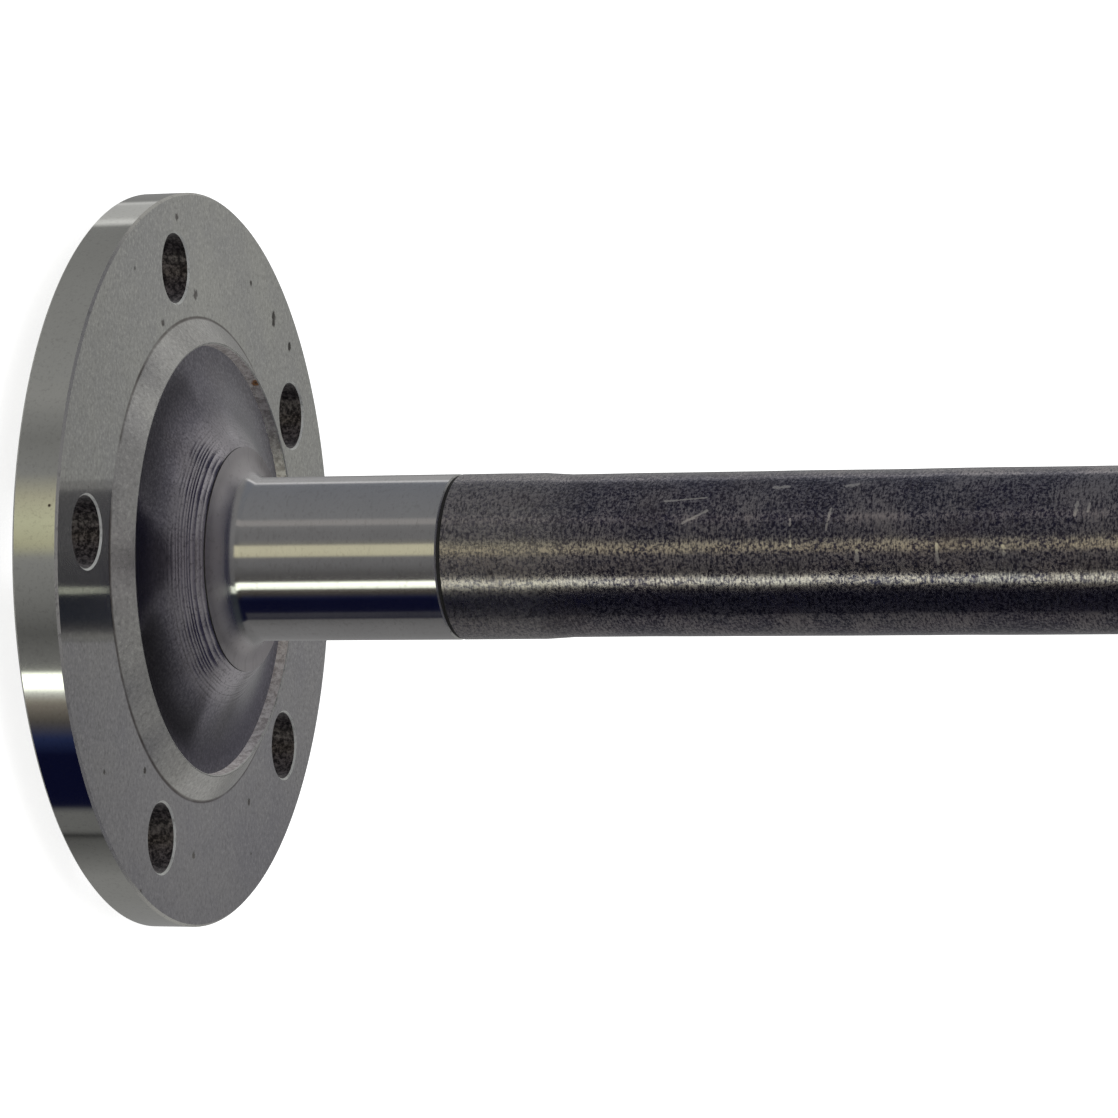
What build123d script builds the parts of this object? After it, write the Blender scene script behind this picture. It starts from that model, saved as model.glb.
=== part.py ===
from build123d import *
import math
import os

# A rear axle shaft, forged in one piece and then turned, ground and splined.
# It stands on its wheel end. The axle line is +Z, and the wheel seats on the plane Z = 0.
# All sizes are in millimetres.

# Five plain holes for pressed-in wheel studs
stud_count = 5
bolt_circle_diameter = 127.0
stud_hole_diameter = 14.9
stud_hole_chamfer = 0.4
first_stud_angle = -90.0

# Wheel flange
rim_land = 7.8
flange_thickness = 9.8
flange_edge_chamfer = 0.5

# Wheel pilot, a raised ring with a forged dish inside it
pilot_diameter = 78.0
pilot_height = 8.0
pilot_lead_chamfer = 1.2
pilot_wall = 10.0
dish_depth = 12.0
dish_draft_angle = 20.0
dish_corner_radius = 4.0

# Hub on the inboard side: a low cone, a lip, and a flare that sweeps up to the shaft
stud_head_land = 4.05
hub_cone_run = 5.7
hub_cone_height = 3.7
hub_lip_radius = 0.3
hub_lip_wall = 0.3
flare_floor_height = 1.0
shoulder_height = 9.9
shoulder_ledge = 1.6
journal_fillet_radius = 5.0

# Ground journal for the wheel bearing and the oil seal
journal_diameter = 35.0
journal_end_height = 58.3
grinding_relief_width = 1.2
grinding_relief_depth = 0.3

# Forged collar and bar, left with their scale
collar_drop = 0.03
collar_length = 18.0
collar_taper_length = 6.0
bar_diameter = 34.2
bar_taper_length = 34.0
bar_corner_radius = 12.0

# Involute splines for the side gear, cut by a hob that runs out into a turned land
spline_tooth_count = 28
spline_module = 25.4 / 24
spline_pressure_angle = 30.0
spline_root_depth = 0.9
spline_length = 62.0
spline_land_length = 26.0
spline_end_chamfer = 1.2
spline_hob_radius = 32.0

# Lock groove and button at the inboard end
lock_groove_width = 6.8
lock_groove_depth = 3.9
button_length = 7.0
button_drop = 0.25
button_chamfer = 1.2

# Centre holes that the shaft was turned on
centre_mouth_diameter = 10.0
centre_drill_diameter = 4.0
centre_drill_depth = 9.0
centre_cone_angle = 60.0

total_length = 812.0

# Steps of the curve that draws one tooth flank
flank_steps = 4

# Radii worked out from the sizes above
bolt_circle_radius = bolt_circle_diameter / 2
stud_hole_radius = stud_hole_diameter / 2
flange_radius = bolt_circle_radius + stud_hole_radius + rim_land
pilot_radius = pilot_diameter / 2
dish_mouth_radius = pilot_radius - pilot_wall
dish_floor_radius = dish_mouth_radius - dish_depth * math.tan(math.radians(dish_draft_angle))
hub_base_radius = bolt_circle_radius - stud_hole_radius - stud_head_land
lip_radius = hub_base_radius - hub_cone_run
flare_outer_radius = lip_radius - hub_lip_wall
journal_radius = journal_diameter / 2
fillet_outer_radius = journal_radius + journal_fillet_radius
shoulder_radius = fillet_outer_radius + shoulder_ledge
relief_radius = journal_radius - grinding_relief_depth
collar_radius = journal_radius - collar_drop
bar_radius = bar_diameter / 2
spline_pitch_radius = spline_module * spline_tooth_count / 2
spline_crest_radius = spline_pitch_radius + spline_module / 2
spline_root_radius = spline_pitch_radius - spline_module * spline_root_depth
button_radius = spline_root_radius - button_drop
lock_groove_radius = button_radius - lock_groove_depth
centre_mouth_radius = centre_mouth_diameter / 2
centre_drill_radius = centre_drill_diameter / 2

# Heights worked out from the wheel end
dish_floor_z = dish_depth - pilot_height
lip_z = flange_thickness + hub_cone_height
flare_floor_z = flange_thickness + flare_floor_height
shoulder_z = flange_thickness + shoulder_height
journal_start_z = shoulder_z + journal_fillet_radius
journal_end_z = flange_thickness + journal_end_height
collar_start_z = journal_end_z + grinding_relief_width
collar_end_z = collar_start_z + collar_length
bar_start_z = collar_end_z + collar_taper_length

# Heights worked out back from the button end
button_start_z = total_length - button_length
spline_end_z = button_start_z - lock_groove_width
full_depth_z = spline_end_z - spline_length
land_start_z = full_depth_z - spline_land_length
bar_end_z = land_start_z - bar_taper_length


def round_corner(section, radius, height, size):
    """Rounds the corner of a half section that lies at this radius and height."""
    corner = min(section.vertices(), key=lambda v: math.hypot(v.X - radius, v.Y - height))
    fillet(corner, size)


def turned_blank():
    """The forging as the lathe leaves it: one half section spun round the axle line."""
    with BuildSketch(Plane.XZ) as section:
        with BuildLine():
            Polyline(
                (0, total_length),
                (0, dish_floor_z),
                (dish_floor_radius, dish_floor_z),
                (dish_mouth_radius, -pilot_height),
                (pilot_radius - pilot_lead_chamfer, -pilot_height),
                (pilot_radius, pilot_lead_chamfer - pilot_height),
                (pilot_radius, 0),
                (flange_radius - flange_edge_chamfer, 0),
                (flange_radius, flange_edge_chamfer),
                (flange_radius, flange_thickness - flange_edge_chamfer),
                (flange_radius - flange_edge_chamfer, flange_thickness),
                (hub_base_radius, flange_thickness),
                (lip_radius, lip_z),
                (flare_outer_radius, flare_floor_z),
            )
            TangentArc(
                (flare_outer_radius, flare_floor_z),
                (shoulder_radius, shoulder_z),
                tangent=(-1, 0),
            )
            Line((shoulder_radius, shoulder_z), (fillet_outer_radius, shoulder_z))
            TangentArc(
                (fillet_outer_radius, shoulder_z),
                (journal_radius, journal_start_z),
                tangent=(-1, 0),
            )
            Polyline(
                (journal_radius, journal_start_z),
                (journal_radius, journal_end_z),
                (relief_radius, journal_end_z + grinding_relief_depth),
                (relief_radius, collar_start_z - grinding_relief_depth),
                (collar_radius, collar_start_z),
                (collar_radius, collar_end_z),
                (bar_radius, bar_start_z),
                (bar_radius, bar_end_z),
                (spline_crest_radius, land_start_z),
                (spline_crest_radius, spline_end_z - spline_end_chamfer),
                (spline_crest_radius - spline_end_chamfer, spline_end_z),
                (lock_groove_radius, spline_end_z),
                (lock_groove_radius, button_start_z),
                (button_radius, button_start_z),
                (button_radius, total_length - button_chamfer),
                (button_radius - button_chamfer, total_length),
                (0, total_length),
            )
        make_face()
        round_corner(section, dish_floor_radius, dish_floor_z, dish_corner_radius)
        round_corner(section, lip_radius, lip_z, hub_lip_radius)
        round_corner(section, bar_radius, bar_start_z, bar_corner_radius)
        round_corner(section, bar_radius, bar_end_z, bar_corner_radius)
        round_corner(section, spline_crest_radius, land_start_z, bar_corner_radius)
    return revolve(section.sketch, axis=Axis.Z)


def stud_holes():
    """The ring of drilled holes in the flange, with both mouths of each one chamfered."""
    mouth_radius = stud_hole_radius + stud_hole_chamfer
    drill = Pos(0, 0, flange_thickness / 2) * Cylinder(stud_hole_radius, 2 * flange_thickness)
    wheel_mouth = Cone(mouth_radius, stud_hole_radius, stud_hole_chamfer)
    hub_mouth = Cone(stud_hole_radius, mouth_radius, stud_hole_chamfer)
    drill += Pos(0, 0, stud_hole_chamfer / 2) * wheel_mouth
    drill += Pos(0, 0, flange_thickness - stud_hole_chamfer / 2) * hub_mouth
    places = PolarLocations(bolt_circle_radius, stud_count, start_angle=first_stud_angle)
    return [place * drill for place in places]


def lathe_centre():
    """One centre hole, with its mouth on the plane Z = 0 and its point down."""
    cone_slope = math.tan(math.radians(centre_cone_angle / 2))
    cone_height = (centre_mouth_radius - centre_drill_radius) / cone_slope
    cone = Cone(centre_drill_radius, centre_mouth_radius, cone_height)
    drill = Cylinder(centre_drill_radius, centre_drill_depth)
    return Pos(0, 0, -cone_height / 2) * cone + Pos(0, 0, -centre_drill_depth / 2) * drill


def gap_half_angle(radius):
    """Half the angle, in radians, that one gap between involute teeth takes at this radius."""
    pressure_angle = math.radians(spline_pressure_angle)
    base_radius = spline_pitch_radius * math.cos(pressure_angle)
    angle_here = math.acos(base_radius / radius)
    involute_here = math.tan(angle_here) - angle_here
    involute_at_pitch = math.tan(pressure_angle) - pressure_angle
    return math.pi / (2 * spline_tooth_count) + involute_here - involute_at_pitch


def tooth_flank(side):
    """Points along one side of a gap, from the root out to just past the crest."""
    climb = spline_crest_radius + spline_module / 4 - spline_root_radius
    points = []
    for step in range(flank_steps + 1):
        radius = spline_root_radius + climb * step / flank_steps
        angle = side * gap_half_angle(radius)
        points.append((radius * math.cos(angle), radius * math.sin(angle)))
    return points


def spline_gaps():
    """What the hob takes out between the teeth, with the curved run-out where it lifts away."""
    right = tooth_flank(-1)
    left = tooth_flank(1)
    with BuildSketch() as gap:
        with BuildLine():
            Spline(*right)
            Spline(*left)
            ThreePointArc(right[0], (spline_root_radius, 0), left[0])
            Line(right[-1], left[-1])
        make_face()

    lift = 2 * spline_module
    run_out_length = math.sqrt(lift * (2 * spline_hob_radius - lift))
    run_out_z = full_depth_z - run_out_length
    clear_end_z = spline_end_z + lock_groove_width / 2
    with BuildSketch(Plane.XZ) as hob_path:
        with BuildLine():
            Polyline(
                (spline_root_radius + lift, run_out_z),
                (spline_root_radius + lift, clear_end_z),
                (lock_groove_radius, clear_end_z),
                (lock_groove_radius, full_depth_z),
                (spline_root_radius, full_depth_z),
            )
            TangentArc(
                (spline_root_radius, full_depth_z),
                (spline_root_radius + lift, run_out_z),
                tangent=(0, -1),
            )
        make_face()
    long_gap = Pos(0, 0, run_out_z) * extrude(gap.sketch, clear_end_z - run_out_z)
    cut = long_gap & revolve(hob_path.sketch, axis=Axis.Z)
    return [place * cut for place in PolarLocations(0, spline_tooth_count)]


def axle_shaft():
    """The whole shaft as one solid."""
    shaft = turned_blank()
    shaft -= stud_holes()
    shaft -= Pos(0, 0, total_length) * lathe_centre()
    shaft -= Pos(0, 0, dish_floor_z) * Rot(180, 0, 0) * lathe_centre()
    shaft -= spline_gaps()
    return shaft


os.makedirs("parts", exist_ok=True)
shaft = axle_shaft()
export_step(shaft, "parts/axle_shaft.step")
print("flange diameter", 2 * flange_radius, "spline diameter", round(2 * spline_crest_radius, 2))
print("volume in cubic centimetres", round(shaft.volume / 1000, 1))
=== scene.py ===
# %% [markdown]
# A drive axle shaft, dressed for its picture
#
# The real part is one steel forging. A lathe faces its wheel flange and sweeps out the hub, a
# grinder finishes the bearing journal, and the long bar between the journal and the splines
# keeps the dark scale of the forge.
#
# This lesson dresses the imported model, which stays as it is, with finely turned meshes and one
# finish for each way that the steel was worked. The first cell loads the model as a fixed frame
# and keeps its box, because nothing made here may leave that box.

# %% Load the frame
import math
import random

import bmesh
import bpy
from mathutils import Matrix, Quaternion, Vector


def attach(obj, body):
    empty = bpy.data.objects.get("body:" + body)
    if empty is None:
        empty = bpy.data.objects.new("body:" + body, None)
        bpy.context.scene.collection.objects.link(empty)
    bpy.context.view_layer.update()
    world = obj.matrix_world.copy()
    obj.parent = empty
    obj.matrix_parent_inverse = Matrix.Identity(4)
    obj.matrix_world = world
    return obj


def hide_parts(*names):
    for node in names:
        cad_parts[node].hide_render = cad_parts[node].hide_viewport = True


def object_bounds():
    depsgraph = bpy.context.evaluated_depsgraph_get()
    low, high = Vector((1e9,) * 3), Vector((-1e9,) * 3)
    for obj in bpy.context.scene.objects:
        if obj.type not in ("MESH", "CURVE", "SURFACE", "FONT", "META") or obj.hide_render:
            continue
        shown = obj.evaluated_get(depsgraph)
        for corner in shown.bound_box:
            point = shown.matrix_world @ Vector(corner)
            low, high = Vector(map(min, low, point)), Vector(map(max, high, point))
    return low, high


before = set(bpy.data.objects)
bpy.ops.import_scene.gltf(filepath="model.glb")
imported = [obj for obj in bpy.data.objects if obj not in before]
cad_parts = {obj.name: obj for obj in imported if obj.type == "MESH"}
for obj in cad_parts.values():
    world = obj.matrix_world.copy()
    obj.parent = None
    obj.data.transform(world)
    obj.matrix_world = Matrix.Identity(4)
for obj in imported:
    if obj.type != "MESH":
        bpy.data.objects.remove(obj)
cad_box = [list(corner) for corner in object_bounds()]
print("box of the model in metres", [[round(v, 4) for v in corner] for corner in cad_box])

# %% [markdown]
# The sizes
#
# A turned part is drawn as a half section: a chain of points, each with a radius and a height
# over the face that the wheel seats on. These are the real sizes in millimetres. The heights of
# the flange come from the wheel side, and those of the splines from the far end, as on a drawing.

# %% Sizes in millimetres
MM = 0.001
NODE = "axle_shaft"
BODY = "root"

bolt_circle_radius = 63.5
stud_count = 5
first_stud_angle = math.radians(-90)
stud_hole_radius = 7.45
stud_hole_chamfer = 0.4

flange_radius = 78.75
flange_thickness = 9.8
edge_break = 0.5

pilot_radius = 39.0
pilot_height = 8.0
pilot_chamfer = 1.2
dish_mouth_radius = 29.0
dish_depth = 12.0
dish_draft = math.radians(20)
dish_corner = 4.0

hub_base_radius = 52.0
lip_radius = 46.3
cone_height = 3.7
lip_round = 0.3
flare_outer_radius = 46.0
flare_floor_height = 1.0
shoulder_height = 9.9
shoulder_ledge = 1.6
journal_radius = 17.5
journal_fillet = 5.0
journal_end_height = 58.3
relief_width = 1.2
relief_depth = 0.3

collar_radius = journal_radius - 0.03
collar_length = 18.0
collar_taper = 6.0
bar_radius = 17.1
bar_taper = 34.0

tooth_count = 28
module = 25.4 / 24
pressure_angle = math.radians(30)
root_depth = 0.9
spline_length = 62.0
land_length = 26.0
spline_chamfer = 1.2
hob_radius = 32.0
lock_groove_width = 6.8
lock_groove_depth = 3.9
button_length = 7.0
button_drop = 0.25
button_chamfer = 1.2

centre_mouth_radius = 5.0
centre_drill_radius = 2.0
centre_drill_depth = 9.0
centre_half_angle = math.radians(30)

total_length = 1000 * cad_box[1][2]
dish_floor_z = dish_depth - pilot_height
lip_z = flange_thickness + cone_height
flare_floor_z = flange_thickness + flare_floor_height
shoulder_z = flange_thickness + shoulder_height
fillet_radius = journal_radius + journal_fillet
shoulder_radius = fillet_radius + shoulder_ledge
journal_start_z = shoulder_z + journal_fillet
journal_end_z = flange_thickness + journal_end_height
collar_start_z = journal_end_z + relief_width
collar_end_z = collar_start_z + collar_length
bar_start_z = collar_end_z + collar_taper
spline_end_z = total_length - button_length - lock_groove_width
button_start_z = total_length - button_length
full_depth_z = spline_end_z - spline_length
land_start_z = full_depth_z - land_length
bar_end_z = land_start_z - bar_taper
pitch_radius = module * tooth_count / 2
crest_radius = pitch_radius + module / 2
root_radius = pitch_radius - module * root_depth
button_radius = root_radius - button_drop
lock_groove_radius = button_radius - lock_groove_depth
print("total length", round(total_length, 1), "spline crest radius", round(crest_radius, 2))

# %% [markdown]
# A short way to write node trees
#
# Both Geometry Nodes and shaders are trees of nodes, and many of their nodes only do sums. A
# small class wraps an output socket, and Python's own signs then add the Math nodes: writing
# `1 - mask` puts a Subtract node in the tree. Every other node comes from one method that takes
# its type, what its inputs get, which output is wanted and its settings.

# %% Sockets that can be added and multiplied
def sign(operation, flipped=False):
    """The method behind one of Python's signs: it adds the Math node that does this sum."""

    def method(self, other):
        values = (other, self) if flipped else (self, other)
        return self.graph.function(operation, *values)

    return method


class Wire:
    """An output socket of a node tree, on which sums can be written."""

    __add__ = sign("ADD")
    __radd__ = sign("ADD", flipped=True)
    __sub__ = sign("SUBTRACT")
    __rsub__ = sign("SUBTRACT", flipped=True)
    __mul__ = sign("MULTIPLY")
    __truediv__ = sign("DIVIDE")
    __gt__ = sign("GREATER_THAN")
    __lt__ = sign("LESS_THAN")

    def __init__(self, graph, socket):
        self.graph = graph
        self.socket = socket


class Graph:
    """A node tree that is written from the first node to the last."""

    def __init__(self, tree):
        self.tree = tree

    def add(self, kind, inputs=None, output=0, **settings):
        """Adds one node. The settings are made first, as they decide which sockets it has."""
        node = self.tree.nodes.new(kind)
        for name, value in settings.items():
            if name == "stops":
                self.set_stops(node.color_ramp, value)
            else:
                setattr(node, name, value)
        for name, value in (inputs or {}).items():
            if isinstance(value, Wire):
                self.tree.links.new(value.socket, node.inputs[name])
            else:
                node.inputs[name].default_value = value
        return Wire(self, node.outputs[output]) if len(node.outputs) else node

    def set_stops(self, ramp, stops):
        """Fills a colour ramp with (position, colour) pairs."""
        while len(ramp.elements) < len(stops):
            ramp.elements.new(1.0)
        for element, (position, colour) in zip(ramp.elements, stops):
            element.position = position
            element.color = (*colour, 1.0)

    def function(self, operation, *values):
        """A Math node, such as ADD or SINE."""
        return self.add("ShaderNodeMath", dict(enumerate(values)), operation=operation)

    def vector_math(self, operation, inputs, output):
        """A Vector Math node, which gives a number from its Value or a place from its Vector."""
        return self.add("ShaderNodeVectorMath", inputs, output, operation=operation)

    def ease(self, value, low, high):
        """0 below low, 1 above high, and a smooth step between them."""
        inputs = {"Value": value, 1: low, 2: high}
        return self.add("ShaderNodeMapRange", inputs, interpolation_type="SMOOTHSTEP")

    def vector(self, x=0.0, y=0.0, z=0.0):
        return self.add("ShaderNodeCombineXYZ", {"X": x, "Y": y, "Z": z})

    def split(self, vector):
        """The X, Y and Z of a vector, as three wires."""
        x = self.add("ShaderNodeSeparateXYZ", {0: vector})
        return [Wire(self, output) for output in x.socket.node.outputs]

    def mix(self, factor, a, b):
        """A colour between a and b."""
        inputs = {0: factor, 6: solid(a), 7: solid(b)}
        return self.add("ShaderNodeMix", inputs, 2, data_type="RGBA")


def solid(colour):
    """A colour socket wants four numbers where a tuple of three is given."""
    return (*colour, 1.0) if isinstance(colour, tuple) and len(colour) == 3 else colour


print("Wire and Graph are ready")

# %% [markdown]
# The lathe
#
# A turned surface follows a rule: every point of the half section goes once round the axle line.
# It could be made with the Spin tool or the Screw modifier. Geometry Nodes keep the rule open
# to change, so a grid is bent here: each row takes its radius and height from one point of the
# section, and each column takes its angle. A little noise on the radius gives a forged surface
# its slow waves. Merge by Distance closes the seam and the poles.

# %% The lathe tree
merge_reach = 1e-6
segments = 256


def new_group(name, counts, measures):
    """An empty Geometry Nodes group with these inputs besides its geometry and its finish."""
    group = bpy.data.node_groups.new(name, "GeometryNodeTree")
    new_socket = group.interface.new_socket
    new_socket("Geometry", in_out="OUTPUT", socket_type="NodeSocketGeometry")
    inputs = {"Geometry": ["Geometry"], "Int": counts, "Float": measures, "Material": ["Finish"]}
    for kind, labels in inputs.items():
        for label in labels:
            new_socket(label, in_out="INPUT", socket_type="NodeSocket" + kind)
    graph = Graph(group)
    entry = group.nodes.new("NodeGroupInput")
    return group, graph, {s.name: Wire(graph, s) for s in entry.outputs if s.name}


def end_group(graph, geometry, finish):
    """The last nodes of each tree make its copies real, weld and smooth it, and coat it."""
    real = graph.add("GeometryNodeRealizeInstances", {0: geometry})
    welded = graph.add("GeometryNodeMergeByDistance", {0: real, "Distance": merge_reach})
    smooth = graph.add("GeometryNodeSetShadeSmooth", {0: welded})
    coated = graph.add("GeometryNodeSetMaterial", {0: smooth, "Material": finish})
    last = graph.tree.nodes.new("NodeGroupOutput")
    graph.tree.links.new(coated.socket, last.inputs[0])


def lathe_tree():
    """The tree that bends a grid into the surface that the half section sweeps."""
    measures = ["Wave Height", "Wave Scale", "Wave Start", "Wave End", "Wave Fade"]
    group, graph, given = new_group("lathe", ["Segments"], measures)
    section = given["Geometry"]
    steps = given["Segments"]
    rows = graph.add("GeometryNodeAttributeDomainSize", {0: section}, component="MESH")
    columns = steps + 1
    grid = graph.add("GeometryNodeMeshGrid", {"Vertices X": rows, "Vertices Y": columns})
    index = graph.add("GeometryNodeInputIndex")
    row = graph.function("FLOOR", index / columns)
    column = index - row * columns
    place = graph.add("GeometryNodeInputPosition")
    inputs = {0: section, "Value": place, "Index": row}
    sampled = graph.add("GeometryNodeSampleIndex", inputs, data_type="FLOAT_VECTOR")
    radius, _, height = graph.split(sampled)
    turn = column * (2 * math.pi) / steps
    east = graph.function("COSINE", turn)
    north = graph.function("SINE", turn)
    around = graph.vector(east * radius, north * radius, height)
    waves = graph.add("ShaderNodeTexNoise", {"Vector": around, "Scale": given["Wave Scale"]})
    start, end, fade = (given["Wave " + word] for word in ("Start", "End", "Fade"))
    share = graph.ease(height, start, start + fade) * graph.ease(height, end, end - fade)
    radius = radius + (waves - 0.5) * share * given["Wave Height"]
    bent = graph.vector(east * radius, north * radius, height)
    shaped = graph.add("GeometryNodeSetPosition", {0: grid, "Position": bent})
    end_group(graph, shaped, given["Finish"])
    return group


def new_object(name, data):
    """An object in the scene for this mesh, camera or lamp."""
    added = bpy.data.objects.new(name, data)
    bpy.context.scene.collection.objects.link(added)
    return added


def grow(name, tree, mesh, values):
    """Runs a tree on a mesh and gives back the plain mesh that comes out."""
    carrier = new_object(name, mesh)
    modifier = carrier.modifiers.new("grow", "NODES")
    modifier.node_group = tree
    sockets = {s.name: s.identifier for s in tree.interface.items_tree if s.in_out == "INPUT"}
    for label, value in values.items():
        modifier[sockets[label]] = value
    bpy.context.view_layer.update()
    evaluated = carrier.evaluated_get(bpy.context.evaluated_depsgraph_get())
    made = bpy.data.meshes.new_from_object(evaluated)
    carrier.modifiers.clear()
    bpy.data.objects.remove(carrier)
    return made


lathe = lathe_tree()


def turned(name, section, finish, steps=segments, waves=None):
    """A mesh in metres: the half section of (radius, height) points in millimetres, spun round."""
    mesh = bpy.data.meshes.new(name + "_section")
    points = [(radius * MM, 0.0, height * MM) for radius, height in section]
    mesh.from_pydata(points, [(i, i + 1) for i in range(len(points) - 1)], [])
    return grow(name, lathe, mesh, {"Segments": steps, "Finish": finish, **(waves or {})})


print("the lathe tree has", len(lathe.nodes), "nodes")

# %% [markdown]
# Copies in a ring
#
# The flange has five equal holes and the far end has twenty-eight equal teeth. One hole and one
# tooth are made, and this tree sets copies of them round the axle line, each turned to face it.

# %% The ring tree
def copies_in_ring(graph, given, one):
    """Copies of a mesh or a curve round the axle line, each turned to face it."""
    count = given["Copies"]
    reach = given["Ring Radius"]
    points = graph.add("GeometryNodeMeshLine", {"Count": count, "Offset": (0, 0, 0)})
    index = graph.add("GeometryNodeInputIndex")
    turn = given["First Angle"] + index * (2 * math.pi) / count
    east = reach * graph.function("COSINE", turn)
    north = reach * graph.function("SINE", turn)
    inputs = {0: points, "Position": graph.vector(east, north)}
    spread = graph.add("GeometryNodeSetPosition", inputs)
    inputs = {"Points": spread, "Instance": one, "Rotation": graph.vector(z=turn)}
    return graph.add("GeometryNodeInstanceOnPoints", inputs)


def ring_tree():
    measures = ["Ring Radius", "First Angle"]
    group, graph, given = new_group("ring_of_copies", ["Copies"], measures)
    end_group(graph, copies_in_ring(graph, given, given["Geometry"]), given["Finish"])
    return group


ring = ring_tree()
print("the ring tree has", len(ring.nodes), "nodes")

# %% [markdown]
# A drilled face
#
# The two flat faces of the flange are rings with five round holes in them. A Boolean would cut
# them and leave slivers. Fill Curve is cleaner: it is given the outer edge, the inner edge and
# the holes as circles, and fills what lies between them. The circles have as many points as the
# turned rings and the bores that they meet, so the seams weld without a gap.

# %% The drilled face tree
def drilled_face_tree():
    """The tree that fills a flat ring and leaves its holes open."""
    counts = ["Segments", "Hole Segments", "Copies"]
    radii = ["Outer Radius", "Inner Radius", "Hole Radius", "Ring Radius"]
    group, graph, given = new_group("drilled_face", counts, radii + ["First Angle", "Height"])

    def circle(radius, resolution):
        inputs = {"Resolution": resolution, "Radius": radius}
        return graph.add("GeometryNodeCurvePrimitiveCircle", inputs)

    holes = copies_in_ring(graph, given, circle(given["Hole Radius"], given["Hole Segments"]))
    inner = circle(given["Inner Radius"], given["Segments"])
    outer = circle(given["Outer Radius"], given["Segments"])
    edges = graph.add("GeometryNodeJoinGeometry")
    for curve in (holes, inner, outer):
        graph.tree.links.new(curve.socket, edges.socket.node.inputs[0])
    real = graph.add("GeometryNodeRealizeInstances", {0: edges})
    face = graph.add("GeometryNodeFillCurve", {0: real}, mode="TRIANGLES")
    inputs = {0: face, "Offset": graph.vector(z=given["Height"])}
    lifted = graph.add("GeometryNodeSetPosition", inputs)
    end_group(graph, lifted, given["Finish"])
    return group


drilled = drilled_face_tree()
print("the drilled face tree has", len(drilled.nodes), "nodes")

# %% [markdown]
# Finishes
#
# The same steel looks different wherever a different tool has touched it. Each finish below is
# a Principled shader with the metal's own colour, and noise that is drawn out in the direction
# of the tool marks. On a turned part that direction is always round the axle, so the patterns
# are laid out by radius, by height and by the angle round the axle.
#
# Tool marks also bend the reflections. They are spread across the marks and stay sharp along
# them, which is what Anisotropic is for. Cycles takes the direction round the Z axis by itself,
# and a quarter turn points the spread across the marks.

# %% What every finish starts with
turned_marks = {"Metallic": 1.0, "Anisotropic": 0.9, "Anisotropic_Rotation": 0.25}


class Finish(Graph):
    """A material with the coordinates of a turned part: radius, height and angle."""

    def __init__(self, name, **constants):
        self.material = bpy.data.materials.new(name)
        self.material.use_nodes = True
        super().__init__(self.material.node_tree)
        self.shader = self.tree.nodes["Principled BSDF"]
        for label, value in constants.items():
            self.shader.inputs[label.replace("_", " ")].default_value = value
        self.place = self.add("ShaderNodeTexCoord", output="Object")
        self.x, self.y, self.height = self.split(self.place)
        self.radius = self.function("SQRT", self.x * self.x + self.y * self.y)

    def noise(self, vector, scale, detail=2.0, roughness=0.5):
        inputs = {"Vector": vector, "Scale": scale, "Detail": detail, "Roughness": roughness}
        return self.add("ShaderNodeTexNoise", inputs)

    def along(self, round_scale, height_scale, radius_scale=0.0, shift=0.0):
        """Places for a pattern with its own scale round the axle, along it and out from it."""
        east = self.x / self.radius
        north = self.y / self.radius
        return self.vector(
            east * round_scale + self.radius * radius_scale + shift,
            north * round_scale + self.radius * radius_scale,
            self.height * height_scale + shift,
        )

    def spots(self, density, size, rarity):
        """Small round pits: 1 in the middle of a spot, and only some cells have one."""
        cells = self.add("ShaderNodeTexVoronoi", {"Vector": self.place, "Scale": density})
        where = Wire(self, cells.socket.node.outputs["Color"])
        lot = self.split(where)[0]
        return (1 - self.ease(cells, 0.4 * size, size)) * (lot < rarity)

    def mark(self, place, reach, wobble=None):
        """A single blemish: 1 at this place in millimetres, and 0 beyond its reach."""
        middle = tuple(v * MM for v in place)
        away = self.vector_math("DISTANCE", {0: self.place, 1: middle}, "Value")
        if wobble is not None:
            away = away + (wobble - 0.5) * (reach * MM)
        return 1 - self.ease(away, 0.5 * reach * MM, reach * MM)

    def finish(self, colour, roughness, height=None, strength=0.3, distance=0.0001, metallic=None):
        """Feeds the shader with what changes over the surface."""
        self.tree.links.new(colour.socket, self.shader.inputs["Base Color"])
        self.tree.links.new(roughness.socket, self.shader.inputs["Roughness"])
        if metallic is not None:
            self.tree.links.new(metallic.socket, self.shader.inputs["Metallic"])
        if height is not None:
            inputs = {"Strength": strength, "Distance": distance, "Height": height}
            bump = self.add("ShaderNodeBump", inputs)
            self.tree.links.new(bump.socket, self.shader.inputs["Normal"])
        return self.material


print("the finishes start from", len(turned_marks), "settings for turned steel")

# %% [markdown]
# Faced steel
#
# The flange face and the cone inside it were cut by a tool that moved slowly outwards. That
# leaves very fine rings, too fine to count, so the face mirrors the shaft as a soft dark patch
# with straight sides. The steel is a warm grey with a fine grain, a few pits from the forging
# and duller clouds. A thin line of painted shade darkens the corner where the cone rises. The
# edges that the hand touches first are worn bright.

# %% Faced steel
corner_shade_inner = 0.1
corner_shade_outer = 0.5


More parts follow.
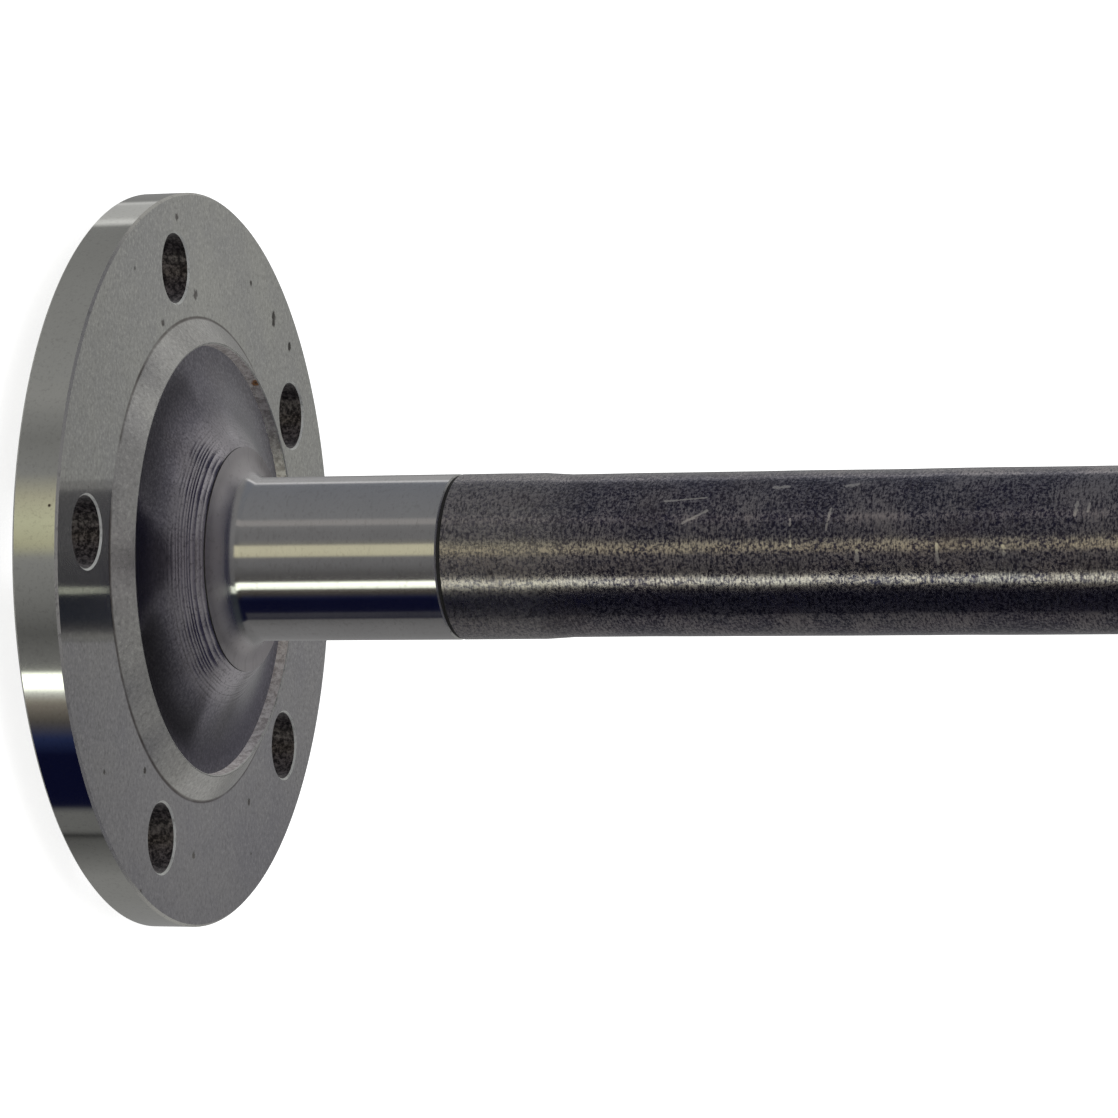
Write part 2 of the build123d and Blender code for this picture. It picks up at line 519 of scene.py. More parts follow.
def faced_steel(name, colour, shade, rough, blemishes=()):
    """Steel in two tones of one grey. Each blemish is a pit at its own place, with its reach."""
    f = Finish(name, **turned_marks)
    rings = f.noise(f.along(1.2, 0.0, radius_scale=2600), 1.0, detail=3.0)
    clouds = f.noise(f.place, 46.0, detail=4.0, roughness=0.6)
    grain = f.noise(f.place, 1100.0, detail=2.0, roughness=0.8)
    pits = f.spots(210.0, 0.14, 0.10) * 0.8
    for place, reach in blemishes:
        pits = f.function("MAXIMUM", pits, f.mark(place, reach, f.noise(f.place, 1500.0)))
    # Painted shade: a thin dark line, patchy with the clouds, in the corner where the cone rises.
    from_corner = f.function("ABSOLUTE", f.radius - hub_base_radius * MM)
    corner_shade = 1 - f.ease(from_corner, corner_shade_inner * MM, corner_shade_outer * MM)
    corner_shade = corner_shade * (f.height > flange_thickness / 2 * MM)
    base = f.mix(f.ease(clouds, 0.3, 0.7), shade, colour)
    base = f.mix(f.ease(grain, 0.5, 0.72) * 0.6, base, tuple(0.6 * c for c in colour))
    base = f.mix(f.ease(grain, 0.5, 0.3) * 0.6, base, tuple(1.3 * c for c in colour))
    base = f.mix(corner_shade * f.ease(clouds, 0.3, 0.6) * 0.85, base, (0.11, 0.09, 0.08))
    base = f.mix(pits * 0.65, base, (0.10, 0.078, 0.06))
    roughness = rough + clouds * 0.03 + grain * 0.03 + pits * 0.3
    height = rings * 0.2 + grain * 0.3 - pits * 3.0
    return f.finish(base, roughness, height, strength=0.15, distance=0.00003)


def worn_edge(name, colour, rough, metallic=1.0):
    """Steel that shines along an edge, with darker nicks in it."""
    f = Finish(name, Metallic=metallic)
    nicks = f.noise(f.place, 420.0, detail=3.0, roughness=0.7)
    base = f.mix(f.ease(nicks, 0.52, 0.7) * 0.6, colour, tuple(0.4 * c for c in colour))
    return f.finish(base, rough + nicks * 0.1, nicks, 0.2, 0.00004)


camera_azimuth = math.radians(-84.67)


def seen_at(up, near, height):
    """A place given as the picture shows it: millimetres up in it, and toward the camera."""
    east = near * math.cos(camera_azimuth) + up * math.sin(camera_azimuth)
    north = near * math.sin(camera_azimuth) - up * math.cos(camera_azimuth)
    return (east, north, height)


face_pits = [
    (56.9, 3.0, 1.4), (54.4, -43.9, 1.3), (52.9, -43.8, 1.1), (48.0, -53.7, 1.2),
    (72.8, 13.2, 1.1), (-63.1, 7.6, 1.0), (-53.5, -25.3, 0.9), (49.9, 21.6, 1.0),
    (-43.8, 34.2, 0.9), (61.0, -30.0, 0.8),
]
pit_marks = [(seen_at(up, near, flange_thickness), reach) for up, near, reach in face_pits]
face_steel = faced_steel("faced_steel", (0.64, 0.64, 0.60), (0.55, 0.55, 0.54), 0.09, pit_marks)
cone_steel = faced_steel("cone_steel", (0.72, 0.71, 0.67), (0.64, 0.63, 0.61), 0.2)
edge_steel = worn_edge("edge_steel", (0.80, 0.80, 0.76), 0.4)
rim_edge_steel = worn_edge("rim_edge_steel", (0.70, 0.69, 0.64), 0.2, 0.8)
mouth_steel = worn_edge("mouth_steel", (0.70, 0.71, 0.68), 0.35, 0.55)
print("made", face_steel.name, cone_steel.name, "with", len(pit_marks), "marks, and three edges")

# %% [markdown]
# Rim steel
#
# The outside of the flange is turned too, but with a fine feed, so it mirrors its surroundings
# in long streaks that run across it. Faint lines run round it with the tool.

# %% Rim steel
def rim_finish():
    f = Finish("rim_steel", **turned_marks)
    lines = f.noise(f.along(2.0, 5200.0), 1.0, detail=2.0)
    clouds = f.noise(f.place, 60.0, detail=3.0)
    grain = f.noise(f.place, 1200.0, detail=2.0, roughness=0.8)
    pits = f.spots(240.0, 0.12, 0.08)
    base = f.mix(clouds, (0.60, 0.60, 0.56), (0.70, 0.70, 0.66))
    base = f.mix(f.ease(grain, 0.5, 0.75) * 0.4, base, (0.40, 0.39, 0.37))
    base = f.mix(pits, base, (0.08, 0.06, 0.05))
    roughness = 0.055 + clouds * 0.03 + lines * 0.02 + pits * 0.3
    return f.finish(base, roughness, lines * 0.3 + clouds * 0.3 - pits, 0.12, 0.00003)


rim_steel = rim_finish()
print("made", rim_steel.name)

# %% [markdown]
# Swept steel
#
# The hollow flare between the lip and the shaft was swept with a round-nosed tool. Its coarse
# grooves are real geometry in the section. The finish adds finer rings between them, and painted
# shade: the steel is coloured a dull dark blue-grey near the wall, darker still close to it, and
# lighter toward the shaft. The steep wall under the lip was left rough: it is mottled, with a
# bloom of rust in one place. The seam finish is painted shade too: a near-black, faintly
# mottled, that fills the narrowest corners and grooves.

# %% Swept steel
shade_free_inside = 26.0
painted_shade_outside = 34.0
deep_shade_start = 37.0
deep_shade_end = 44.0


def swept_finish():
    f = Finish("swept_steel", **turned_marks)
    rings = f.noise(f.along(3.0, 0.0, radius_scale=1500), 1.0, detail=4.0, roughness=0.7)
    clouds = f.noise(f.place, 70.0, detail=4.0, roughness=0.6)
    grain = f.noise(f.place, 1500.0, detail=2.0, roughness=0.8)
    # Painted shade: the flare is coloured dark blue-grey toward the wall, darker still close to
    # it.
    unshaded = 1 - f.ease(f.radius, shade_free_inside * MM, painted_shade_outside * MM)
    deep_shade = f.ease(f.radius, deep_shade_start * MM, deep_shade_end * MM)
    base = f.mix(unshaded, (0.205, 0.195, 0.23), (0.6, 0.57, 0.6))
    base = f.mix(deep_shade * 0.3, base, (0.05, 0.047, 0.07))
    base = f.mix(f.ease(clouds, 0.45, 0.75) * 0.4, base, (0.2, 0.185, 0.19))
    base = f.mix(f.ease(grain, 0.48, 0.7) * 0.5, base, (0.08, 0.073, 0.09))
    base = f.mix(f.ease(grain, 0.52, 0.34) * 0.4, base, (0.44, 0.42, 0.46))
    roughness = 0.11 + clouds * 0.06 + grain * 0.06
    return f.finish(base, roughness, rings * 0.8 + grain * 0.4, 0.25, 0.00005)


def wall_finish():
    f = Finish("hollow_wall")
    speckle = f.noise(f.place, 620.0, detail=4.0, roughness=0.8)
    rust = f.mark(rust_place, rust_reach, f.noise(f.place, 700.0, detail=3.0))
    pit = f.mark(rust_place, 0.3 * rust_reach)
    base = f.mix(f.ease(speckle, 0.36, 0.64), (0.46, 0.41, 0.40), (0.88, 0.83, 0.82))
    base = f.mix(rust, base, (0.30, 0.13, 0.04))
    base = f.mix(pit, base, (0.012, 0.008, 0.006))
    metallic = 0.9 - rust * 0.9
    return f.finish(base, 0.36 + speckle * 0.2, speckle, 0.4, 0.00008, metallic)


# Painted shade: a near-black with a little mottle, for the narrowest corners and grooves.
def seam_shade_finish():
    f = Finish("seam_shade", Metallic=0.3)
    shade_mottle = f.noise(f.place, 500.0, detail=3.0)
    return f.finish(f.mix(shade_mottle, (0.008, 0.008, 0.01), (0.03, 0.027, 0.026)), 0.5 + shade_mottle * 0.2)


rust_place = seen_at(38.6, -25.0, 12.6)
rust_reach = 1.5
swept_steel = swept_finish()
hollow_wall = wall_finish()
seam_shade = seam_shade_finish()
print("made", swept_steel.name, hollow_wall.name, seam_shade.name)

# %% [markdown]
# Ground steel
#
# The journal is ground to size, so it is the brightest surface of the shaft. A grinding wheel
# leaves hair-fine lines round it. They are much finer than a pixel, and they show as a faint
# unevenness along the edges of the reflections. The wheel doesn't reach into the fillet at the
# foot, so the steel gets duller there and the reflections fade out.

# %% Ground steel
dull_start = journal_radius + 0.2
dull_end = journal_radius + 1.6


def ground_finish():
    f = Finish("ground_steel", **turned_marks)
    lines = f.noise(f.along(1.5, 7000.0), 1.0, detail=2.0)
    grain = f.noise(f.along(14.0, 1400.0), 1.0, detail=2.0, roughness=0.8)
    clouds = f.noise(f.place, 120.0, detail=3.0)
    foot = f.ease(f.radius, dull_start * MM, dull_end * MM)
    base = f.mix(clouds, (0.54, 0.53, 0.53), (0.62, 0.61, 0.61))
    base = f.mix(foot, base, (0.68, 0.65, 0.655))
    base = f.mix(f.ease(grain, 0.5, 0.75) * 0.35, base, (0.38, 0.36, 0.35))
    roughness = 0.11 + foot * 0.27 + lines * 0.03 + clouds * 0.03
    return f.finish(base, roughness, lines * 0.5 + grain * 0.6, 0.1, 0.00003)


ground_steel = ground_finish()
print("made", ground_steel.name)

# %% [markdown]
# Forge scale
#
# Steel that cools in air grows a hard, dark skin. On the bar it is nearly black and finely
# mottled, and it still shines, because it is smooth. A belt has gone lightly over it: the high
# spots show bare in short pale streaks that run round the bar, closer together in some places
# than in others. At its foot, next to the journal, the belt has taken more off. Along the side
# that faces the camera a paler brown band lies in patches: partly rubbed wear, and partly a
# painted sheen where the bar's highlights run. Handling has added a few scratches, each one a
# line between two places.

# %% Forge scale
foot_wander = 20.0
foot_end_z = bar_start_z + 10.0
rubbed_and_sheen_top = (3.0, 1.0)
rubbed_and_sheen_foot = (-9.0, -6.0)


def scratch(f, start, end, width, grit):
    """1 along a line between two places, given as (degrees from the camera, height)."""
    points = []
    for degrees, height in (start, end):
        turn = math.radians(degrees)
        up = bar_radius * math.sin(turn)
        near = bar_radius * math.cos(turn)
        points.append(Vector(seen_at(up, near, height)) * MM)
    way = points[1] - points[0]
    from_start = f.vector_math("SUBTRACT", {0: f.place, 1: points[0]}, "Vector")
    reach = f.vector_math("DOT_PRODUCT", {0: from_start, 1: way}, "Value")
    share = f.add("ShaderNodeClamp", {"Value": reach / way.length_squared})
    nearest = f.vector_math("SCALE", {0: tuple(way), "Scale": share}, "Vector")
    away = f.vector_math("DISTANCE", {0: from_start, 1: nearest}, "Value")
    away = away + (grit - 0.5) * (2.4 * width * MM)
    return 1 - f.ease(away, 0.5 * width * MM, 1.1 * width * MM)


def scale_finish(name, dark, light, rough, foot=(), scratches=()):
    """Scale mottled in two tones, with two more for its foot, and a bare line for each scratch."""
    f = Finish(name, Anisotropic=0.75, Anisotropic_Rotation=0.25)
    clouds = f.noise(f.place, 60.0, detail=4.0, roughness=0.65)
    mottle = f.noise(f.place, 1600.0, detail=3.0, roughness=0.75)
    chips = f.noise(f.place, 1100.0)
    streaks = f.noise(f.along(11.0, 2600.0), 1.0, detail=3.0, roughness=0.7)
    bands = f.noise(f.along(1.2, 75.0, shift=3.0), 1.0, detail=2.0)
    share = 0.0
    if foot:
        edge = f.height + (clouds - 0.5) * (foot_wander * MM)
        share = 1 - f.ease(edge, collar_end_z * MM, foot_end_z * MM)
        dark = f.mix(share, dark, foot[0])
        light = f.mix(share, light, foot[1])
    base = f.mix(f.ease(mottle, 0.4, 0.62), dark, light)
    # Rubbed wear and painted sheen: a patchy paler brown band on the camera side, where highlights
    # run.
    sine, cosine = math.sin(camera_azimuth), math.cos(camera_azimuth)
    up = f.x * sine - f.y * cosine
    near = f.x * cosine + f.y * sine
    below_top, above_foot = (f.ease(up, a * MM, b * MM) for a, b in (rubbed_and_sheen_top, rubbed_and_sheen_foot))
    patchy = f.ease(clouds, 0.32, 0.55) * f.ease(mottle, 0.4, 0.62)
    rubbed_and_sheen = below_top * above_foot * (near > 0) * patchy
    base = f.mix(rubbed_and_sheen * 0.36, base, (0.68, 0.57, 0.5))
    base = f.mix(f.ease(clouds, 0.5, 0.72) * 0.4, base, (0.125, 0.105, 0.11))
    base = f.mix(f.ease(streaks, 0.5, 0.36) * 0.6, base, (0.04, 0.034, 0.04))
    worn = f.ease(streaks * 0.6 + bands * 0.4 + mottle * 0.15, 0.56, 0.70)
    base = f.mix(worn * 0.65, base, (0.45, 0.41, 0.405))
    for start, end, width in scratches:
        base = f.mix(scratch(f, start, end, width, chips) * 0.7, base, (0.68, 0.64, 0.6))
    roughness = rough + mottle * 0.1 + clouds * 0.06 + share * 0.05
    metallic = 0.91 + worn * 0.09
    height = mottle * 0.6 + streaks * 0.6
    return f.finish(base, roughness, height, 0.25, 0.00005, metallic)


bar_scratches = [
    ((39.7, 116.9), (42.7, 125.7), 0.26),
    ((22.1, 121.3), (31.1, 126.3), 0.36),
    ((15.8, 151.7), (31.4, 152.3), 0.32),
    ((52.4, 154.6), (53.7, 156.9), 0.60),
    ((51.4, 139.5), (52.6, 142.4), 0.55),
    ((1.4, 158.1), (-5.4, 158.4), 0.42),
    ((3.0, 188.3), (-3.0, 188.5), 0.50),
    ((5.5, 174.6), (-8.0, 174.9), 0.30),
    ((24.0, 144.0), (5.0, 144.4), 0.26),
    ((24.3, 202.6), (33.9, 202.9), 0.42),
    ((27.0, 205.2), (33.0, 205.4), 0.34),
    ((-61.1, 84.6), (-42.7, 87.4), 0.25),
]
collar_tones = ((0.15, 0.14, 0.165), (0.42, 0.395, 0.385))
bar_scale = scale_finish("forge_scale", (0.027, 0.026, 0.056), (0.26, 0.245, 0.272), 0.15,
                         collar_tones, bar_scratches)
dish_scale = scale_finish("dish_scale", (0.09, 0.085, 0.1), (0.24, 0.22, 0.22), 0.2)
print("made", bar_scale.name, "with", len(bar_scratches), "scratches, and", dish_scale.name)

# %% [markdown]
# Bores and splines
#
# The drilled holes were never finished, and they keep the marks of the drill. Their near-black
# colour, mottled with grey, is painted shade inside the holes. The splines are cut clean by the
# hob and carry a film of oil.

# %% Drilled and cut steel
def bore_shade_finish():
    f = Finish("bore_shade_steel")
    rings = f.noise(f.vector(f.x * 60, f.y * 60, f.height * 2600), 1.0, detail=2.0)
    clouds = f.noise(f.place, 1100.0, detail=4.0, roughness=0.75)
    # Painted shade: the bore walls are coloured near-black inside the holes, mottled with grey.
    base = f.mix(f.ease(clouds, 0.4, 0.66), (0.012, 0.009, 0.011), (0.17, 0.148, 0.15))
    metallic = 0.9 - clouds * 0.3
    return f.finish(base, 0.34 + clouds * 0.2, rings + clouds, 0.4, 0.0001, metallic)


def cut_finish(name, colour, rough):
    f = Finish(name, Metallic=1.0)
    lines = f.noise(f.along(4.0, 3000.0), 1.0, detail=3.0)
    clouds = f.noise(f.place, 90.0, detail=4.0)
    base = f.mix(f.ease(clouds, 0.3, 0.7), colour, tuple(0.82 * c for c in colour))
    return f.finish(base, rough + clouds * 0.1, lines, 0.25, 0.00005)


bore_shade_steel = bore_shade_finish()
cut_steel = cut_finish("cut_steel", (0.58, 0.57, 0.55), 0.18)
print("made", bore_shade_steel.name, "and", cut_steel.name)

# %% [markdown]
# Helpers for sections
#
# Curved stretches of a section are worked out, not listed. An arc that leaves a point in a
# known direction and ends at another point has only one centre, and two lines of geometry find
# it. A last helper welds the turned meshes of one piece together, turns its faces outwards and
# marks the edges that stay sharp.

# %% Arcs and welding
def tangent_arc(start, end, direction, steps):
    """The points after start on the arc that leaves it in this direction and stops at end."""
    start = Vector(start)
    chord = Vector(end) - start
    heading = Vector(direction).normalized()
    side = Vector((-heading.y, heading.x))
    reach = chord.length_squared / (2 * chord.dot(side))
    centre = start + side * reach
    spoke = start - centre
    sweep = 2 * math.atan2(chord.dot(side), chord.dot(heading))
    points = []
    for step in range(1, steps + 1):
        points.append(tuple(centre + Matrix.Rotation(sweep * step / steps, 2) @ spoke))
    return points


def even(start, end, steps):
    """The points after start on a straight line to end."""
    return [tuple(Vector(start).lerp(Vector(end), step / steps)) for step in range(1, steps + 1)]


sharp_angle = math.radians(14)


def weld(name, meshes):
    """One closed object out of meshes that share their edges."""
    joined = bmesh.new()
    finishes = []
    for mesh in meshes:
        finish = mesh.materials[-1]
        if finish not in finishes:
            finishes.append(finish)
        first = len(joined.faces)
        joined.from_mesh(mesh)
        joined.faces.ensure_lookup_table()
        for face in joined.faces[first:]:
            face.material_index = finishes.index(finish)
            face.smooth = True
    bmesh.ops.remove_doubles(joined, verts=joined.verts, dist=2 * merge_reach)
    bmesh.ops.recalc_face_normals(joined, faces=joined.faces)
    loose = sum(1 for edge in joined.edges if not edge.is_manifold)
    whole = bpy.data.meshes.new(name)
    for finish in finishes:
        whole.materials.append(finish)
    joined.to_mesh(whole)
    joined.free()
    whole.set_sharp_from_angle(angle=sharp_angle)
    piece = new_object(name, whole)
    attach(piece, BODY)
    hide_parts(NODE)
    triangles = sum(len(face.vertices) - 2 for face in whole.polygons)
    print(name, "has", triangles, "triangles and", loose, "open edges")
    return piece


def centre_hole(mouth_z, depth_way):
    """A lathe centre as section points, from its mouth to its bottom at the axle line."""
    cone = (centre_mouth_radius - centre_drill_radius) / math.tan(centre_half_angle)
    return [
        (centre_mouth_radius, mouth_z),
        (centre_drill_radius, mouth_z + depth_way * cone),
        (centre_drill_radius, mouth_z + depth_way * centre_drill_depth),
        (0.0, mouth_z + depth_way * centre_drill_depth),
    ]


print("helpers are ready")

# %% [markdown]
# The wheel flange
#
# This is the disc that the wheel bolts to, with the hub that leads into the shaft. Its flat
# faces are filled with the five holes left open, its rim, hub and wheel side are turned, and
# one bore is turned and set five times. The grooves of the flare are cut here as geometry. A
# round-nosed tool leaves shallow hollows side by side with a sharp ridge between them, so each
# hollow has its own width and depth, drawn with a fixed seed. The last ones dip a little below
# the ledge, which leaves a low step that is coloured near-black as painted shade.

# %% The hub's flare with its grooves
plain_flare_steps = 30
groove_steps = 8
groove_reach = 8.0
groove_widths = (0.5, 1.3)
groove_depths = (0.04, 0.15)
groove_fade_reach = 1.15 * groove_reach
step_height = 0.35
step_run = 1.8
groove_lot = random.Random(7)
ridges = [shoulder_radius]
depths = []
while ridges[-1] < shoulder_radius + groove_reach:
    fade = 1 - (ridges[-1] - shoulder_radius) / groove_fade_reach
    ridges.append(ridges[-1] + groove_lot.uniform(*groove_widths))
    depths.append(groove_lot.uniform(*groove_depths) * fade)

flare_chord = Vector((shoulder_radius - flare_outer_radius, shoulder_z - flare_floor_z))
flare_arc_radius = flare_chord.length_squared / (2 * flare_chord.y)


def flare_height(radius):
    """The height of the flare's arc, which starts level at its outer edge."""
    inward = flare_outer_radius - radius
    return flare_floor_z + flare_arc_radius - math.sqrt(flare_arc_radius ** 2 - inward ** 2)


flare_section = []
for step in range(plain_flare_steps + 1):
    radius = flare_outer_radius + (ridges[-1] - flare_outer_radius) * step / plain_flare_steps
    flare_section.append((radius, flare_height(radius)))
for outer, inner, depth in zip(ridges[:0:-1], ridges[-2::-1], depths[::-1]):
    for step in range(1, groove_steps + 1):
        share = step / groove_steps
        radius = outer + (inner - outer) * share
        drop = step_height * max(0, 1 - (radius - shoulder_radius) / step_run)
        hollow = 4 * depth * share * (1 - share)
        flare_section.append((radius, flare_height(radius) - hollow - drop))
print("the flare has", len(flare_section), "points and", len(depths), "grooves")

# %% The flange's pieces
hole_segments = 96
lip_steps = 10
dish_corner_steps = 8
mouth_radius = stud_hole_radius + stud_hole_chamfer
face_edge = flange_radius - edge_break
socket_depth = 1.0

rim_section = [(flange_radius, edge_break), (flange_radius, flange_thickness - edge_break)]
inboard_edge = [rim_section[1], (face_edge, flange_thickness)]
wheel_edge = [(face_edge, 0), rim_section[0]]
lip = Vector((lip_radius, lip_z))
down_cone = (Vector((hub_base_radius, flange_thickness)) - lip).normalized()
down_wall = (Vector((flare_outer_radius, flare_floor_z)) - lip).normalized()
lip_reach = lip_round / math.tan(down_cone.angle(down_wall) / 2)
lip_start = tuple(lip + down_cone * lip_reach)
lip_end = tuple(lip + down_wall * lip_reach)
cone_section = [(hub_base_radius, flange_thickness), lip_start]
lip_section = [lip_start] + tangent_arc(lip_start, lip_end, -down_cone, lip_steps)
wall_section = [lip_end, (flare_outer_radius, flare_floor_z)]
step_section = [flare_section[-1], (shoulder_radius, shoulder_z)]
ledge_section = [
    (shoulder_radius, shoulder_z),
    (fillet_radius, shoulder_z),
    (fillet_radius, shoulder_z - socket_depth),
    (0, shoulder_z - socket_depth),
]
dish_floor_radius = dish_mouth_radius - dish_depth * math.tan(dish_draft)
corner_reach = dish_corner * math.tan((math.pi / 2 - dish_draft) / 2)
wall_foot = (
    dish_floor_radius + corner_reach * math.sin(dish_draft),
    dish_floor_z - corner_reach * math.cos(dish_draft),
)
floor_start = (dish_floor_radius - corner_reach, dish_floor_z)
wheel_section = [
    (pilot_radius, 0),
    (pilot_radius, pilot_chamfer - pilot_height),
    (pilot_radius - pilot_chamfer, -pilot_height),
    (dish_mouth_radius, -pilot_height),
]
dish_section = [(dish_mouth_radius, -pilot_height), wall_foot]
corner_section = tangent_arc(floor_start, wall_foot, (1, 0), dish_corner_steps)
dish_section += corner_section[-2::-1] + [floor_start]
dish_section += centre_hole(dish_floor_z, 1)


def drilled_face(name, inner, height, finish):
    """One flat face of the flange, from this inner radius out, with its stud holes open."""
    values = {
        "Outer Radius": face_edge * MM,
        "Inner Radius": inner * MM,
        "Height": height * MM,
        "Segments": segments,
        "Copies": stud_count,
        "Hole Radius": mouth_radius * MM,
        "Hole Segments": hole_segments,
        "Ring Radius": bolt_circle_radius * MM,
        "First Angle": first_stud_angle,
        "Finish": finish,
    }
    return grow(name, drilled, bpy.data.meshes.new(name), values)


bore_section = [
    (mouth_radius, 0),
    (stud_hole_radius, stud_hole_chamfer),
    (stud_hole_radius, flange_thickness - stud_hole_chamfer),
    (mouth_radius, flange_thickness),
]
bore_meshes = [
    turned("mouth", bore_section[:2], mouth_steel, hole_segments),
    turned("mouth", bore_section[2:], mouth_steel, hole_segments),
    turned("bore", bore_section[1:3], bore_shade_steel, hole_segments),
]


def ring_of(name, mesh, copies, reach, first_angle):
    """Copies of a mesh round the axle line as one mesh, in the finish that the first one has."""
    values = {"Copies": copies, "Ring Radius": reach * MM, "First Angle": first_angle,
              "Finish": mesh.materials[-1]}
    return grow(name, ring, mesh, values)


flange_meshes = [
    drilled_face("inboard_face", hub_base_radius, flange_thickness, face_steel),
    drilled_face("wheel_face", pilot_radius, 0, face_steel),
    turned("rim", rim_section, rim_steel),
    turned("inboard_edge", inboard_edge, rim_edge_steel),
    turned("wheel_edge", wheel_edge, edge_steel),
    turned("cone", cone_section, cone_steel),
    turned("lip", lip_section, edge_steel),
    turned("wall", wall_section, hollow_wall),
    turned("flare", flare_section, swept_steel),
    # Painted shade: the low step at the foot of the grooves is coloured near-black.
    turned("step", step_section, seam_shade),
    turned("ledge", ledge_section, ground_steel),
    turned("pilot", wheel_section, face_steel),
    turned("dish", dish_section, dish_scale),
]
for mesh in bore_meshes:
    flange_meshes.append(ring_of("bores", mesh, stud_count, bolt_circle_radius, first_stud_angle))
wheel_flange = weld("wheel_flange", flange_meshes)
wheel_flange.visible_glossy = False

# %% [markdown]
# The bearing journal
#
# The wheel bearing and the oil seal run on this ground stretch. A round fillet leads into it
# from the hub, so that the shaft doesn't crack there, and a shallow relief ends it, where the
# grinding wheel could run out. The journal's foot sits a little way down in the hub, so that no
# two faces share one plane. Mirror rays pass through the flange: the cards shine in the journal
# right up to the hub, as they do where a photographer sets them low.

# %% The journal
spigot_drop = 0.8
fillet_steps = 20
journal_foot = (fillet_radius, shoulder_z)
journal_head = (journal_radius, journal_end_z)
relief_start = (journal_radius - relief_depth, journal_end_z + relief_depth)
relief_end = (journal_radius - relief_depth, collar_start_z - relief_depth)
spigot_z = shoulder_z - spigot_drop
fillet_section = [(0, spigot_z), (fillet_radius, spigot_z), journal_foot]
journal_start = (journal_radius, journal_start_z)
fillet_section += tangent_arc(journal_foot, journal_start, (-1, 0), fillet_steps)
journal_meshes = [
    turned("fillet", fillet_section, ground_steel),
    turned("ground", [fillet_section[-1], journal_head], ground_steel),
    turned("journal_edge", [journal_head, relief_start], edge_steel),
    # Painted shade: the relief groove is coloured near-black.
    turned("relief", [relief_start, relief_end, (0, relief_end[1])], seam_shade),
]
weld("bearing_journal", journal_meshes)

# %% [markdown]
# The forged bar
#
# From the collar to the splines the shaft is as it left the forge, with scale on it and slow
# waves of a tenth of a millimetre or so. The rings of the section lie a few millimetres apart,
# so that the waves have enough points to follow.

# %% The bar
bar_ring_gap = 4.0
collar_steps = 8
collar_taper_steps = 4
bar_taper_steps = 12
bar_waves = {
    "Wave Height": 0.3 * MM,
    "Wave Scale": 42.0,
    "Wave Start": collar_start_z * MM,
    "Wave End": land_start_z * MM,
    "Wave Fade": 12 * MM,
}
collar_foot = (collar_radius, collar_start_z)
collar_top = (collar_radius, collar_end_z)
bar_foot = (bar_radius, bar_start_z)
bar_top = (bar_radius, bar_end_z)
land_foot = (crest_radius, land_start_z)
bar_steps = round((bar_end_z - bar_start_z) / bar_ring_gap)
collar_section = [collar_foot] + even(collar_foot, collar_top, collar_steps)
collar_section += even(collar_top, bar_foot, collar_taper_steps)
bar_section = [bar_foot] + even(bar_foot, bar_top, bar_steps)
bar_section += even(bar_top, land_foot, bar_taper_steps) + [(0, land_start_z)]
bar_meshes = [
    # Painted shade: the collar's wall of the relief groove is coloured near-black.
    turned("collar_edge", [(0, relief_end[1]), relief_end, collar_foot], seam_shade),
    turned("collar", collar_section, bar_scale, waves=bar_waves),
    turned("bar", bar_section, bar_scale, waves=bar_waves),
]
weld("forged_bar", bar_meshes)

# %% [markdown]
# The splined end
#
# The splines slide into the side gear of the differential. Their flanks are involutes, and a
# round hob cut the gaps, so each gap ends in a curved slope where the hob lifted out of the
# steel. One tooth pitch is worked out as a strip that runs from the bar to the end of the
# shaft, and the ring tree sets it twenty-eight times.

# %% One tooth pitch
flank_steps = 4
floor_steps = 2
crest_steps = 3
run_out_steps = 14


def gap_half_angle(radius):
    """Half the angle, in radians, of the gap between two teeth at this radius."""
    here = math.acos(pitch_radius * math.cos(pressure_angle) / radius)
    at_pitch = math.tan(pressure_angle) - pressure_angle
    return math.pi / (2 * tooth_count) + math.tan(here) - here - at_pitch


def toothed_ring(height, floor, crest):
    """The points of one pitch at this height, across half a gap, a tooth and half a gap."""
    half_pitch = math.pi / tooth_count
    polar = [(floor, gap_half_angle(floor) * step / floor_steps) for step in range(floor_steps)]
    for step in range(flank_steps + 1):
        radius = floor + (crest - floor) * step / flank_steps
        polar.append((radius, gap_half_angle(radius)))
    edge = gap_half_angle(crest)
    for step in range(1, crest_steps):
        polar.append((crest, edge + (half_pitch - edge) * 2 * step / crest_steps))
    outward = polar[:-crest_steps + 1]
    mirrored = [(radius, 2 * half_pitch - angle) for radius, angle in reversed(outward)]
    return [
        (radius * math.cos(angle), radius * math.sin(angle), height)
        for radius, angle in polar + mirrored
    ]


def round_ring(height, radius):
    """The same points on a plain turned circle, with the angles of the toothed ring."""
    points = []
    for x, y, _ in toothed_ring(height, root_radius, crest_radius):
        angle = math.atan2(y, x)
        points.append((radius * math.cos(angle), radius * math.sin(angle), height))
    return points


lift = crest_radius - root_radius
run_out = math.sqrt(lift * (2 * hob_radius - lift))
rings = [round_ring(land_start_z, 0.0), round_ring(land_start_z, crest_radius)]
for step in range(run_out_steps + 1):
    back = run_out * (1 - step / run_out_steps)
    floor = root_radius + hob_radius - math.sqrt(hob_radius ** 2 - back ** 2)
    rings.append(toothed_ring(full_depth_z - back, min(floor, crest_radius), crest_radius))
rings.append(toothed_ring(spline_end_z - spline_chamfer, root_radius, crest_radius))
rings.append(toothed_ring(spline_end_z, root_radius, crest_radius - spline_chamfer))
for radius, height in [
    (lock_groove_radius, spline_end_z),
    (lock_groove_radius, button_start_z),
    (button_radius, button_start_z),
    (button_radius, total_length - button_chamfer),
    (button_radius - button_chamfer, total_length),
    *centre_hole(total_length, -1),
]:
    rings.append(round_ring(height, radius))
width = len(rings[0])
strip = bpy.data.meshes.new("tooth_strip")
corners = [tuple(v * MM for v in point) for points in rings for point in points]
faces = []
